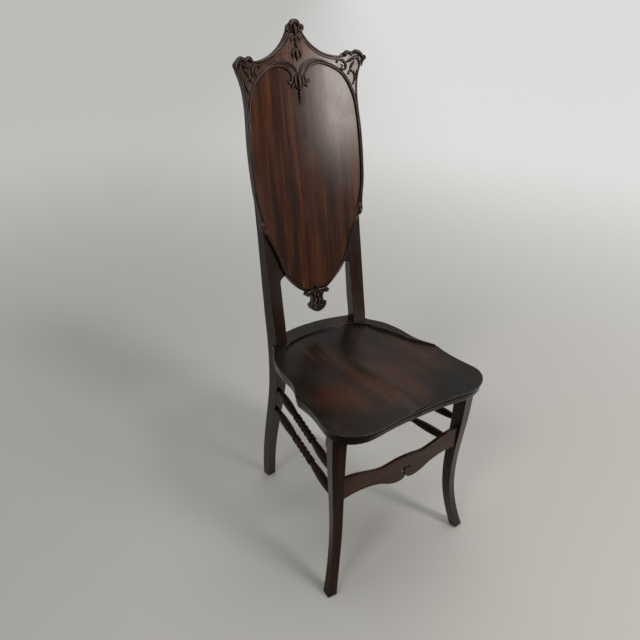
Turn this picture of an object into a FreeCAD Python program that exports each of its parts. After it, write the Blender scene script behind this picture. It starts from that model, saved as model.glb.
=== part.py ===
import FreeCAD, Part
import Sketcher
import math
import os

# High-backed dining chair with a concave shield-shaped back, a saddled solid
# seat, sabre front legs, swept rear posts and turned side stretchers.
# Millimetres. +Z is up, +Y is towards the back, the floor is Z = 0, and X = 0
# is the chair's mid-plane. The origin is the middle of the box on the floor.

Vector = FreeCAD.Vector
Rotation = FreeCAD.Rotation
Placement = FreeCAD.Placement

SIZES = [
    # seat
    ("seat_height", 450.0),
    ("seat_thickness", 28.0),
    ("seat_front", -252.4),
    ("seat_front_bulge", 7.5),
    ("seat_half_width", 205.0),
    ("seat_waist_half_width", 175.0),
    ("seat_rear_half_width", 103.0),
    ("seat_rear", 163.6),
    ("seat_dish_depth", 12.5),
    ("seat_rim_step", 4.0),
    ("seat_ridge_rise", 4.5),
    ("ridge_half_width", 22.0),
    ("ridge_end", -70.0),
    ("ridge_fade", 26.0),
    ("hollow_out", 78.0),
    ("hollow_centre", -5.0),
    ("hollow_half_width", 75.0),
    ("hollow_half_length", 95.0),
    ("nose_radius", 6.0),
    ("fascia_setback", 4.0),
    # back frame
    ("rake_angle", 11.28),
    ("bend_radius", 614.0),
    ("back_foot_depth", 115.9),
    ("shield_thickness", 10.0),
    ("shield_proud", 2.5),
    ("frame_thickness", 3.0),
    ("veneer_thickness", 1.5),
    ("veneer_dip", 12.0),
    ("bead_thickness", 3.0),
    ("carving_thickness", 5.0),
    ("rim_thickness", 5.0),
    ("pendant_thickness", 4.0),
    ("drop_thickness", 3.0),
    ("oval_bead_width", 4.0),
    ("edge_bead_width", 3.2),
    ("crest_bead_width", 5.0),
    ("scroll_width", 4.5),
    ("fine_scroll_width", 3.4),
    ("rim_bead_width", 6.5),
    ("drop_bead_radius", 5.0),
    ("drop_bead_count", 5.0),
    ("drop_top", 549.0),
    # rear posts
    ("post_turn", 9.5),
    ("post_spread", 116.0),
    ("post_foot_spread", 101.5),
    ("post_width", 33.0),
    ("corner_thickness", 9.5),
    # front legs
    ("foot_taper", 2.5),
    ("leg_tenon", 20.0),
    ("leg_tenon_length", 18.0),
    # front rail
    ("rail_front", -212.4),
    ("rail_thickness", 8.5),
    ("rail_end_inset", 9.0),
    ("rail_end_rise", 53.5),
    ("rail_centre_rise", 38.3),
    ("rail_dip_rise", 33.5),
    ("rail_end_drop", 1.0),
    ("rail_notch_drop", 16.0),
    ("rail_lobe_drop", 26.0),
    ("rail_tenon_rise", 26.0),
    ("rail_lower_shift", 13.0),
    ("keyhole_height", 252.0),
    ("keyhole_radius", 12.0),
    ("keyhole_slit", 1.6),
    ("volute_radius", 8.3),
    ("volute_shift", 3.0),
    ("rail_tenon_thickness", 5.5),
    ("rail_tenon_width", 38.0),
    ("rail_tenon_length", 14.0),
    ("tenon_root", 4.0),
    # turned stretchers
    ("upper_stretcher_height", 316.0),
    ("lower_stretcher_height", 250.0),
    ("rear_stretcher_height", 345.0),
    ("stretcher_tenon", 12.0),
    ("stretcher_front_tenon", 13.0),
    ("stretcher_tenon_bite", 1.0),
    ("stretcher_swell", 17.0),
    ("stretcher_swell_gap", 23.0),
    ("stretcher_ring", 18.5),
    ("stretcher_ring_width", 3.2),
    ("stretcher_neck", 12.5),
    ("stretcher_bead", 18.0),
    ("stretcher_bead_count", 5.0),
    ("stretcher_bead_length", 17.0),
    ("stretcher_bead_shift", 4.0),
    ("rear_stretcher_swell", 19.0),
    # screws
    ("screw_shank", 4.0),
    ("screw_head", 8.0),
    ("screw_head_height", 2.4),
    ("screw_head_sink", 0.5),
    ("shield_screw_cover", 2.0),
    ("seat_screw_length", 48.0),
    ("seat_screw_depth", 8.0),
    ("plug_diameter", 10.0),
]

# Stations of a front leg, from the floor up: height, how far the centre lies
# inside the seat's half width, centre in depth, side of the square section, and
# how far the section is turned out.
LEG_STATIONS = [
    ("foot", 3.0, 13.0, -225.1, 21.5, 4.5),
    ("ankle", 75.0, 29.3, -210.4, 20.0, 9.0),
    ("calf", 180.0, 37.8, -200.8, 22.0, 13.0),
    ("shank", 262.0, 33.8, -201.3, 25.0, 13.0),
    ("knee", 350.0, 28.6, -202.9, 29.0, 13.0),
    ("crown", 422.0, 28.0, -201.4, 32.0, 13.0),
]

# Stations of the curved lower part of a rear post: height, centre in depth and
# the side of the section.
POST_STATIONS = [
    ("foot", 3.0, 188.6, 22.0),
    ("ankle", 90.0, 181.2, 22.8),
    ("calf", 180.0, 163.4, 24.5),
    ("shank", 260.0, 143.6, 26.5),
    ("knee", 340.0, 127.6, 29.0),
    ("hip", 400.0, 122.0, 31.5),
    ("seat", 450.0, 123.3, 32.0),
    ("lap", 485.0, 129.0, 32.0),
]

# Stations of its straight raked part: height above the seat along the rake, and
# depth of the section, which thins behind the shield.
RAKED_STATIONS = [
    ("bend", 70.0, 29.5),
    ("arch", 150.0, 26.5),
    ("housing", 255.0, 22.0),
    ("neck", 430.0, 18.0),
    ("top", 596.0, 14.0),
]

for name, height, inset, depth, side, turn in LEG_STATIONS:
    SIZES.append(("leg_%s_height" % name, height))
    SIZES.append(("leg_%s_inset" % name, inset))
    SIZES.append(("leg_%s_depth" % name, depth))
    SIZES.append(("leg_%s_side" % name, side))
    SIZES.append(("leg_%s_turn" % name, turn))
for name, height, depth, side in POST_STATIONS:
    SIZES.append(("post_%s_height" % name, height))
    SIZES.append(("post_%s_depth" % name, depth))
    SIZES.append(("post_%s_side" % name, side))
for name, length, depth in RAKED_STATIONS:
    SIZES.append(("post_%s_length" % name, length))
    SIZES.append(("post_%s_depth" % name, depth))

doc = FreeCAD.newDocument("shield_back_chair")
sheet = doc.addObject("Spreadsheet::Sheet", "Sizes")
for row, (alias, number) in enumerate(SIZES, 1):
    sheet.set("A%d" % row, alias)
    sheet.set("B%d" % row, str(number))
    sheet.setAlias("B%d" % row, alias)
doc.recompute()


def size(alias):
    return float(sheet.get(alias))


nodes = {}


def keep(name, piece):
    piece.Label = name
    nodes[name] = piece
    return piece


def cut_away(base, tools):
    for tool in tools:
        cut = doc.addObject("Part::Cut", "Cut")
        cut.Base = base
        cut.Tool = tool
        base = cut
    return base


def origin_plane(body, role):
    for feature in body.Origin.OriginFeatures:
        if feature.Role == role:
            return feature
    raise RuntimeError(role)


def body_sketch(body, role, offset=None):
    sketch = body.newObject("Sketcher::SketchObject", "Sketch")
    sketch.AttachmentSupport = [(origin_plane(body, role), "")]
    sketch.MapMode = "FlatFace"
    if offset is not None:
        sketch.AttachmentOffset = offset
    return sketch


def draw_rectangle(sketch, wide, deep, wide_size, deep_size):
    x, y = wide / 2, deep / 2
    corners = [Vector(-x, -y, 0), Vector(x, -y, 0), Vector(x, y, 0), Vector(-x, y, 0)]
    for i in range(4):
        sketch.addGeometry(Part.LineSegment(corners[i], corners[(i + 1) % 4]))
    for i in range(4):
        sketch.addConstraint(Sketcher.Constraint("Coincident", i, 2, (i + 1) % 4, 1))
    for i, direction in enumerate(("Horizontal", "Vertical", "Horizontal", "Vertical")):
        sketch.addConstraint(Sketcher.Constraint(direction, i))
    sketch.addConstraint(Sketcher.Constraint("Symmetric", 0, 1, 1, 2, -1, 1))
    width = sketch.addConstraint(Sketcher.Constraint("DistanceX", 0, 1, 0, 2, wide))
    depth = sketch.addConstraint(Sketcher.Constraint("DistanceY", 1, 1, 1, 2, deep))
    sketch.setExpression("Constraints[%d]" % width, wide_size)
    sketch.setExpression("Constraints[%d]" % depth, deep_size)


def run_edge(points):
    if len(points) == 2:
        return Part.LineSegment(points[0], points[1])
    curve = Part.BSplineCurve()
    curve.interpolate(points)
    return curve


def mirrored(points):
    return [(-x, y) for x, y in points]


def backwards(points):
    return list(reversed(points))


def offset_points(points, distance):
    # Moves each point of an open run sideways, to the left of its direction.
    moved = []
    for i, (x, y) in enumerate(points):
        before = points[max(i - 1, 0)]
        after = points[min(i + 1, len(points) - 1)]
        dx, dy = after[0] - before[0], after[1] - before[1]
        length = math.hypot(dx, dy)
        moved.append((x - dy / length * distance, y + dx / length * distance))
    return moved


def band(points, width):
    # A strip of even width along a run, on its left-hand side.
    inner = offset_points(points, width)
    return [points, [points[-1], inner[-1]], backwards(inner), [inner[0], points[0]]]


def strip(points, width):
    return band(offset_points(points, -width / 2), width)


def both_halves(runs):
    # Closes an outline whose right half runs from the mid-line to the mid-line.
    return runs + [mirrored(backwards(run)) for run in backwards(runs)]


# Rear posts, from the floor to the ears of the shield

rake = math.radians(size("rake_angle"))
back_rotation = Rotation(Vector(1, 0, 0), -size("rake_angle"))
back_place = Placement(Vector(0, size("back_foot_depth"), size("seat_height")), back_rotation)


def back_point(x, up, behind):
    # A point of the raked back: up its length, and behind the shield's face.
    radius = size("bend_radius")
    bow = radius - math.sqrt(radius * radius - x * x)
    return back_place.multVec(Vector(x, behind - bow, up))


def add_toe(body, foot, place, turn, side_size):
    # Tapers the end of a leg in to the floor, below its foot section.
    floor_side = size(side_size) - 2 * size("foot_taper")
    sketch = body_sketch(body, "XY_Plane", Placement(Vector(place.x, place.y, 0), turn))
    alias = "Sizes.%s - 2 * Sizes.foot_taper" % side_size
    draw_rectangle(sketch, floor_side, floor_side, alias, alias)
    doc.recompute()
    toe = body.newObject("PartDesign::AdditiveLoft", "Toe")
    toe.Profile = foot
    toe.Sections = [sketch]
    toe.Ruled = True
    doc.recompute()


def post_spread_at(height):
    foot, top = size("post_foot_spread"), size("post_spread")
    return foot + (top - foot) * min(1.0, height / size("seat_height"))


def post_centre(up, depth):
    # Centre of a post's section above the seat, with its face under the shield.
    turn = math.radians(size("post_turn"))
    inwards = math.sin(turn) * depth / 2
    face = back_point(size("post_spread") - inwards, up, size("shield_proud"))
    return face + Vector(inwards, math.cos(turn) * depth / 2, 0)


def make_post(hand):
    body = doc.addObject("PartDesign::Body", "PostBlank")
    turn = Rotation(Vector(0, 0, 1), -hand * size("post_turn"))
    sections = []
    for name, *_ in POST_STATIONS:
        height = size("post_%s_height" % name)
        side = size("post_%s_side" % name)
        place = Vector(hand * post_spread_at(height), size("post_%s_depth" % name), height)
        sketch = body_sketch(body, "XY_Plane", Placement(place, turn))
        alias = "Sizes.post_%s_side" % name
        draw_rectangle(sketch, side, side, alias, alias)
        sections.append(sketch)
    for name, *_ in RAKED_STATIONS:
        depth_size = "post_%s_depth" % name
        depth = size(depth_size)
        centre = post_centre(size("post_%s_length" % name), depth)
        place = Vector(hand * centre.x, centre.y, centre.z)
        sketch = body_sketch(body, "XY_Plane", Placement(place, turn))
        draw_rectangle(sketch, size("post_width"), depth, "Sizes.post_width", "Sizes." + depth_size)
        sections.append(sketch)
    doc.recompute()
    # The sweep runs smoothly up to the bend; from there the post is straight.
    bend = len(POST_STATIONS)
    for label, span in (("Sweep", sections[:bend + 1]), ("Straight", sections[bend:])):
        loft = body.newObject("PartDesign::AdditiveLoft", label)
        loft.Profile = span[0]
        loft.Sections = span[1:]
        loft.Ruled = label == "Straight"
        doc.recompute()
    foot_place = Vector(hand * post_spread_at(size("post_foot_height")), size("post_foot_depth"), 0)
    add_toe(body, sections[0], foot_place, turn, "post_foot_side")
    return body


post_blanks = {hand: make_post(hand) for hand in (-1, 1)}


# Front legs: square sabre legs, swept out at the foot and at the crown

def leg_out(inset):
    return size("seat_half_width") - inset


def make_leg(hand):
    body = doc.addObject("PartDesign::Body", "LegBlank")
    sections = []
    for name, *_ in LEG_STATIONS:
        side = size("leg_%s_side" % name)
        place = Vector(hand * leg_out(size("leg_%s_inset" % name)), size("leg_%s_depth" % name),
                       size("leg_%s_height" % name))
        turn = Rotation(Vector(0, 0, 1), hand * size("leg_%s_turn" % name))
        sketch = body_sketch(body, "XY_Plane", Placement(place, turn))
        alias = "Sizes.leg_%s_side" % name
        draw_rectangle(sketch, side, side, alias, alias)
        sections.append(sketch)
    doc.recompute()
    loft = body.newObject("PartDesign::AdditiveLoft", "Sabre")
    loft.Profile = sections[0]
    loft.Sections = sections[1:]
    loft.Ruled = False
    doc.recompute()
    foot_place = Vector(hand * leg_out(size("leg_foot_inset")), size("leg_foot_depth"), 0)
    foot_turn = Rotation(Vector(0, 0, 1), hand * size("leg_foot_turn"))
    add_toe(body, sections[0], foot_place, foot_turn, "leg_foot_side")
    return body


leg_blanks = {hand: make_leg(hand) for hand in (-1, 1)}


def station_at(stations, prefix, field, height):
    # Value of a leg's or post's field at a height, between its stations.
    names = [entry[0] for entry in stations]
    for low, high in zip(names, names[1:]):
        bottom, top = size("%s_%s_height" % (prefix, low)), size("%s_%s_height" % (prefix, high))
        if height <= top:
            share = (height - bottom) / (top - bottom)
            first = size("%s_%s_%s" % (prefix, low, field))
            last = size("%s_%s_%s" % (prefix, high, field))
            return first + (last - first) * share
    return size("%s_%s_%s" % (prefix, names[-1], field))


def leg_centre(hand, height):
    return Vector(hand * leg_out(station_at(LEG_STATIONS, "leg", "inset", height)),
                  station_at(LEG_STATIONS, "leg", "depth", height), height)


def post_centre_below(hand, height):
    return Vector(hand * post_spread_at(height),
                  station_at(POST_STATIONS, "post", "depth", height), height)


# Turned stretchers

def turned_profile(length, rear_wood, front_wood):
    # Half profile from the rear tenon to the front tenon, as runs of points.
    tenon, front = size("stretcher_tenon") / 2, size("stretcher_front_tenon") / 2
    swell, ring = size("stretcher_swell") / 2, size("stretcher_ring") / 2
    neck, bead = size("stretcher_neck") / 2, size("stretcher_bead") / 2
    ring_width = size("stretcher_ring_width")
    count = int(round(size("stretcher_bead_count")))
    pitch = size("stretcher_bead_length")
    start = rear_wood + size("stretcher_tenon_bite")
    end = length - front_wood - size("stretcher_tenon_bite")
    beads_start = (start + end) / 2 - count * pitch / 2 + size("stretcher_bead_shift")
    beads_end = beads_start + count * pitch
    swell_gap = size("stretcher_swell_gap")
    runs = [[(0, 0), (tenon, 0)], [(tenon, 0), (tenon, start)]]
    runs.append([(tenon, start), (swell, beads_start - swell_gap), (neck, beads_start - ring_width)])
    runs.append([(neck, beads_start - ring_width), (ring, beads_start - ring_width / 2),
                 (neck, beads_start)])
    for i in range(count):
        low = beads_start + i * pitch
        runs.append([(neck, low), (bead, low + pitch / 2), (neck, low + pitch)])
    runs.append([(neck, beads_end), (ring, beads_end + ring_width / 2), (neck, beads_end + ring_width)])
    runs.append([(neck, beads_end + ring_width), (swell, beads_end + swell_gap), (front, end)])
    runs.append([(front, end), (front, length)])
    runs.append([(front, length), (0, length)])
    runs.append([(0, length), (0, 0)])
    return runs


def plain_profile(length, wood):
    tenon, swell = size("stretcher_tenon") / 2, size("rear_stretcher_swell") / 2
    start, end = wood + size("stretcher_tenon_bite"), length - wood - size("stretcher_tenon_bite")
    return [[(0, 0), (tenon, 0)], [(tenon, 0), (tenon, start)],
            [(tenon, start), (swell, length / 2), (tenon, end)],
            [(tenon, end), (tenon, length)], [(tenon, length), (0, length)], [(0, length), (0, 0)]]


def make_turning(name, start, end, profile):
    body = doc.addObject("PartDesign::Body", "Turning")
    sketch = body_sketch(body, "XZ_Plane")
    for run in profile:
        points = [Vector(x, y, 0) for x, y in run]
        if len(points) == 3:
            sketch.addGeometry(Part.Arc(*points))
        else:
            sketch.addGeometry(Part.LineSegment(*points))
    doc.recompute()
    turning = body.newObject("PartDesign::Revolution", "Turned")
    turning.Profile = sketch
    turning.ReferenceAxis = (sketch, ["V_Axis"])
    turning.Angle = 360.0
    body.Placement = Placement(start, Rotation(Vector(0, 0, 1), end - start))
    doc.recompute()
    return keep(name, body)


turnings = {-1: [], 1: []}
for hand, side_name in ((-1, "left"), (1, "right")):
    for level in ("upper", "lower"):
        height = size("%s_stretcher_height" % level)
        rear = post_centre_below(hand, height)
        front = leg_centre(hand, height)
        rear_wood = station_at(POST_STATIONS, "post", "side", height) / 2
        front_wood = station_at(LEG_STATIONS, "leg", "side", height) / 2
        profile = turned_profile((front - rear).Length, rear_wood, front_wood)
        name = "side_stretcher_%s_%s" % (level, side_name)
        turnings[hand].append(make_turning(name, rear, front, profile))

rear_height = size("rear_stretcher_height")
rear_ends = [post_centre_below(hand, rear_height) for hand in (-1, 1)]
rear_wood = station_at(POST_STATIONS, "post", "side", rear_height) / 2
rear_profile = plain_profile((rear_ends[1] - rear_ends[0]).Length, rear_wood)
rear_stretcher = make_turning("rear_stretcher", rear_ends[0], rear_ends[1], rear_profile)


# Shield: every piece is an outline cut from a layer of the bent back

layers = {}


def layer(front, behind):
    # Part of the bent back between two depths behind the shield's face.
    key = (round(front, 3), round(behind, 3))
    if key not in layers:
        shells = []
        for depth in (behind, front):
            shell = doc.addObject("Part::Cylinder", "Bend")
            shell.setExpression("Radius", "Sizes.bend_radius + %r" % depth)
            shell.setExpression("Height", "Sizes.post_top_length * 1.5")
            shell.Placement = Placement(Vector(0, -size("bend_radius"), 0), Rotation())
            shells.append(shell)
        ring = doc.addObject("Part::Cut", "BentLayer")
        ring.Base, ring.Tool = shells
        layers[key] = ring
    return layers[key]


prism_front = -45.0
prism_length = 75.0


def prism(runs):
    # The outline drawn out through the whole depth of the bend.
    sketch = doc.addObject("Sketcher::SketchObject", "Outline")
    for run in runs:
        sketch.addGeometry(run_edge([Vector(x, y, 0) for x, y in run]))
    sketch.Placement = Placement(Vector(0, prism_front, 0), Rotation(Vector(1, 0, 0), 90))
    extrusion = doc.addObject("Part::Extrusion", "Prism")
    extrusion.Base = sketch
    extrusion.DirMode = "Custom"
    extrusion.Dir = Vector(0, 1, 0)
    extrusion.LengthFwd = prism_length
    extrusion.Solid = True
    return extrusion


def bent_piece(outlines, front, behind):
    solids = [prism(runs) for runs in outlines]
    if len(solids) > 1:
        joined = doc.addObject("Part::MultiFuse", "Carvings")
        joined.Shapes = solids
    else:
        joined = solids[0]
    piece = doc.addObject("Part::Common", "BentPiece")
    piece.Base = joined
    piece.Tool = layer(front, behind)
    piece.Placement = back_place
    return piece


crest_tip = [(0, 686), (8, 684), (14, 677), (17, 669)]
crest_sweep = [(17, 669), (24, 657.5), (34, 645.3), (49, 632.8), (64, 624), (85, 616.8),
               (103, 614.2), (113, 615.5)]
ear_top = [(113, 615.5), (121, 620.5), (132, 621.5), (145, 619.5), (157, 608)]
outer_side = [(157, 608), (153, 593), (147, 577), (142.5, 555), (141, 525), (142.5, 495),
              (145, 460), (146, 415), (145, 375), (142.3, 338), (138.5, 305), (136.5, 283)]
leaf_end = [(136.5, 283), (137.5, 276)]
lower_oval = [(137.5, 276), (118.5, 242.5), (102, 205), (87.3, 167), (67, 136.5), (36.5, 108.5), (14, 97)]
tongue_side = [(14, 97), (9, 80)]
tongue_end = [(9, 80), (0, 80)]
inner_side = [(121, 279), (131, 310), (136, 341), (138, 395), (137.2, 450), (135, 490),
              (131.3, 520), (124.8, 541.5), (115.4, 562), (104.8, 576.4), (88.8, 588), (70, 596.8),
              (53, 600.3), (35.5, 597.3), (22.5, 588), (17, 575)]
cusp_curl = [(17, 575), (21.5, 566)]
cusp_side = [(21.5, 566), (10, 555.5), (0, 551)]

board_front = 0.0
board_back = size("shield_thickness")
frame_front = -size("frame_thickness")
veneer_front = -size("veneer_thickness")
bead_front = frame_front - size("bead_thickness")
carving_front = frame_front - size("carving_thickness")
rim_front = -size("rim_thickness")
drop_front = veneer_front - size("drop_thickness")

board_runs = [crest_tip, crest_sweep, ear_top, outer_side, leaf_end, lower_oval, tongue_side, tongue_end]
board_blank = bent_piece([both_halves(board_runs)], board_front, board_back)

frame_right = [crest_tip, crest_sweep, ear_top, outer_side, [outer_side[-1], inner_side[0]],
               inner_side, cusp_curl, cusp_side]
crest_frame = keep("crest_frame", bent_piece([both_halves(frame_right)], frame_front, board_front))

rim_outer = lower_oval[:-1]
rim_inner = offset_points(rim_outer, -size("rim_bead_width"))
veneer_foot = (0, rim_inner[-1][1] - size("veneer_dip"))
veneer_right = [backwards(cusp_side), backwards(cusp_curl), backwards(inner_side),
                [inner_side[0], rim_inner[0]], rim_inner, [rim_inner[-1], veneer_foot]]
veneer = keep("veneer_panel", bent_piece([both_halves(veneer_right)], veneer_front, board_front))

# Mouldings and carvings that lie on the frame, one of each on either hand
arch = [(3.2, 586), (6.5, 594), (16, 602.8), (34, 609.6), (48, 609.2), (58, 606.4)]
scroll_upper = [(97, 604.5), (107, 605), (117, 597), (115, 586), (106, 583.5)]
scroll_lower = [(124, 578.5), (131, 580.5), (137, 571), (132.5, 556)]
leaf_stem = [(134, 600), (128, 592), (126, 584)]
ear = [(113, 615), (117, 622.5), (125, 625), (131, 621.5), (141, 624.5), (151, 619), (157.5, 612),
       (163, 607.5), (161, 602.5), (155, 603), (148, 609.5), (138, 613.5), (126, 612.5), (113, 615)]

hands = ((-1, "left"), (1, "right"))


def handed(points, hand):
    return points if hand > 0 else mirrored(points)


rims = []
for hand, side_name in hands:
    oval_bead = band(handed(inner_side, hand), -hand * size("oval_bead_width"))
    edge_bead = band(handed(outer_side, hand), -hand * size("edge_bead_width"))
    crest_bead = band(handed(crest_sweep, hand), -hand * size("crest_bead_width"))
    arch_scroll = strip(handed(arch, hand), size("scroll_width"))
    rim = band(handed(rim_outer, hand), -hand * size("rim_bead_width"))
    spandrel = [strip(handed(run, hand), size("fine_scroll_width"))
                for run in (scroll_upper, scroll_lower, leaf_stem)]
    oval_piece = keep("oval_bead_" + side_name, bent_piece([oval_bead], bead_front, frame_front))
    ear_piece = bent_piece([[handed(ear, hand)]], carving_front, frame_front)
    edge_piece = bent_piece([edge_bead], bead_front, frame_front)
    keep("ear_carving_" + side_name, ear_piece)
    keep("edge_bead_" + side_name, cut_away(edge_piece, [oval_piece, ear_piece]))
    keep("crest_bead_" + side_name, bent_piece([crest_bead], bead_front, frame_front))
    keep("arch_scroll_" + side_name, bent_piece([arch_scroll], carving_front, frame_front))
    keep("spandrel_carving_" + side_name, bent_piece(spandrel, bead_front, frame_front))
    rims.append(keep("rim_bead_" + side_name, bent_piece([rim], rim_front, board_front)))

# Carvings on the mid-line
finial = [[(0, 690), (7, 688.5), (11, 681)], [(11, 681), (17, 681), (20.8, 675.5), (17, 670), (12.5, 669.5)],
          [(12.5, 669.5), (7, 662), (0, 659)]]
bellflower_upper = [[(0, 657), (5, 654.5), (10.5, 650)], [(10.5, 650), (5, 643), (0, 638.5)]]
bellflower_lower = [[(0, 637), (4.5, 631), (9.5, 621)], [(9.5, 621), (4.5, 613), (0, 609)]]
shell = [[(0, 574), (8, 573), (15, 568.5)], [(15, 568.5), (17, 562), (11.5, 556), (5, 550.8)],
         [(5, 550.8), (0, 549.5)]]


def drop_outline():
    # A string of beads, each smaller than the one above it.
    radius, top, count = size("drop_bead_radius"), size("drop_top"), int(size("drop_bead_count"))
    shrink, waist, spacing = 0.86, 0.4, 1.35
    runs = [[(0, top), (waist * radius, top)]]
    for i in range(count):
        low = top - spacing * radius
        neck = waist * radius
        runs.append([(neck, top), (radius, (top + low) / 2), (neck, low)])
        top, radius = low, radius * shrink
        runs.append([(neck, top), (waist * radius if i < count - 1 else 0, top)])
    return runs


keep("finial_carving", bent_piece([both_halves(finial)], carving_front, frame_front))
keep("bellflower_upper", bent_piece([both_halves(bellflower_upper)], carving_front, frame_front))
keep("bellflower_lower", bent_piece([both_halves(bellflower_lower)], carving_front, frame_front))
keep("shell_carving", bent_piece([both_halves(shell)], carving_front, frame_front))
keep("bead_drop", bent_piece([both_halves(drop_outline())], drop_front, veneer_front))

pendant = [[(0, 120), (5, 116.5), (7, 110), (6, 104)], [(6, 104), (13, 101.5), (23, 104.5), (30, 102.5),
           (32, 97.5), (28, 93.5), (20.5, 94.5)], [(20.5, 94.5), (15.5, 90), (14, 82), (15.5, 76)],
           [(15.5, 76), (23, 71.5)], [(23, 71.5), (20, 61.5), (12, 54), (0, 50.6)]]
pendant_blank = bent_piece([both_halves(pendant)], -size("pendant_thickness"), board_back)
keep("pendant_carving", cut_away(pendant_blank, [board_blank, veneer] + rims))


# Screws: three through each post into the shield, one through each into the seat

def screw(tip, head_top, shank_length):
    direction = tip - head_top
    turn = Rotation(Vector(0, 0, 1), direction)
    shank = doc.addObject("Part::Cylinder", "Shank")
    shank.setExpression("Radius", "Sizes.screw_shank / 2")
    shank.Height = shank_length
    shank.Placement = Placement(head_top, turn)
    head = doc.addObject("Part::Cone", "Head")
    head.setExpression("Radius1", "Sizes.screw_head / 2")
    head.setExpression("Radius2", "Sizes.screw_shank / 2")
    head.setExpression("Height", "Sizes.screw_head_height")
    head.Placement = Placement(head_top, turn)
    whole = doc.addObject("Part::Fuse", "Screw")
    whole.Base = shank
    whole.Tool = head
    return whole


def post_depth_at(up):
    names = [entry[0] for entry in RAKED_STATIONS]
    for low, high in zip(names, names[1:]):
        bottom, top = size("post_%s_length" % low), size("post_%s_length" % high)
        if up <= top:
            share = (up - bottom) / (top - bottom)
            first, last = size("post_%s_depth" % low), size("post_%s_depth" % high)
            return first + (last - first) * share
    return size("post_top_depth")


def group(name, members):
    whole = doc.addObject("Part::Compound", "Group")
    whole.Links = members
    return keep(name, whole)


post_turn = math.radians(size("post_turn"))
shield_screws = {-1: [], 1: []}
seat_screws = {-1: [], 1: []}
plugs = {-1: [], 1: []}
for hand, side_name in hands:
    forward = Vector(-hand * math.sin(post_turn), -math.cos(post_turn), 0)
    for share in (0.5, 0.72, 0.94):
        up = size("post_top_length") * share
        depth = post_depth_at(up)
        face = back_point(hand * size("post_spread"), up, size("shield_proud"))
        reach = depth - size("screw_head_sink")
        head_top = face - forward * reach
        length = reach + size("shield_proud") - size("shield_screw_cover")
        shield_screws[hand].append(screw(head_top + forward * length, head_top, length))
    centre = Vector(hand * size("post_spread"), size("post_seat_depth"),
                    size("seat_height") - size("seat_thickness") / 2)
    back_face = centre - forward * (size("post_seat_side") / 2)
    head_top = back_face + forward * size("seat_screw_depth")
    length = size("seat_screw_length")
    seat_screws[hand].append(screw(head_top + forward * length, head_top, length))
    plug = doc.addObject("Part::Cylinder", "Plug")
    plug.setExpression("Radius", "Sizes.plug_diameter / 2")
    plug.setExpression("Height", "Sizes.seat_screw_depth")
    plug.Placement = Placement(back_face, Rotation(Vector(0, 0, 1), forward))
    plugs[hand].append(plug)

group("shield_screws", shield_screws[-1] + shield_screws[1])
group("seat_screws", seat_screws[-1] + seat_screws[1])
shield_board = keep("shield_board", cut_away(board_blank, shield_screws[-1] + shield_screws[1]))


# Posts with the housing for the shield and the small arched corner below it

arch_corner = [[(101.5, 131), (99, 142), (94.5, 150), (87.5, 154.5), (79.5, 156.5)],
               [(79.5, 156.5), (104, 205)], [(104, 205), (112, 205)], [(112, 205), (112, 131)],
               [(112, 131), (101.5, 131)]]

for hand, side_name in hands:
    corner_runs = [handed(run, hand) for run in arch_corner]
    corner = bent_piece([corner_runs], size("shield_proud"), size("shield_proud") + size("corner_thickness"))
    joined = doc.addObject("Part::Fuse", "PostWithCorner")
    joined.Base = post_blanks[hand]
    joined.Tool = corner
    tools = [board_blank] + shield_screws[hand] + seat_screws[hand] + plugs[hand] + turnings[hand]
    keep("rear_post_" + side_name, cut_away(joined, tools + [rear_stretcher]))
    plug_common = doc.addObject("Part::Common", "PlugInPost")
    plug_common.Base = plugs[hand][0]
    plug_common.Tool = post_blanks[hand]
    plugs[hand] = plug_common
group("screw_plugs", [plugs[-1], plugs[1]])


# Front rail: a thin scroll-sawn board tenoned into the legs. Its heights are
# taken from the keyhole, which the round end of the right lobe curls into.

def rail_outline():
    # The rail's top edge dips either side of a raised middle; the lower edge
    # has two lobes that meet at a notch under the keyhole.
    end = leg_out(size("leg_shank_inset")) - size("rail_end_inset")
    middle = size("keyhole_height")
    centre, dip = middle + size("rail_centre_rise"), middle + size("rail_dip_rise")
    top_half = [(0, centre), (18, centre - 0.6), (34, centre - 2.4), (57, dip), (82, dip + 4.5),
                (112, dip + 12.5), (end, middle + size("rail_end_rise"))]
    bottom = middle - size("rail_end_drop")
    lobe, notch = middle - size("rail_lobe_drop"), middle - size("rail_notch_drop")
    shift = size("rail_lower_shift")
    half_slit = size("keyhole_slit") / 2
    low_half = [(half_slit, notch), (4, lobe + 4.5), (11, lobe + 1), (23, lobe), (37, lobe + 2.5),
                (51, lobe + 8), (66, lobe + 15.5), (84, lobe + 22), (112, lobe + 27.5)]
    top = mirrored(backwards(top_half)) + top_half[1:]
    right = [(shift + x, z) for x, z in low_half] + [(end, bottom)]
    left = [(shift - x, z) for x, z in low_half] + [(-end, bottom)]
    radius = size("keyhole_radius")
    drop = math.sqrt(radius * radius - half_slit * half_slit)
    hole_right, hole_left = (shift + half_slit, middle - drop), (shift - half_slit, middle - drop)
    return [top, [top[-1], right[-1]], backwards(right), [right[0], hole_right],
            "keyhole", [hole_left, left[0]], left, [left[-1], top[0]]], hole_right, hole_left


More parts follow.
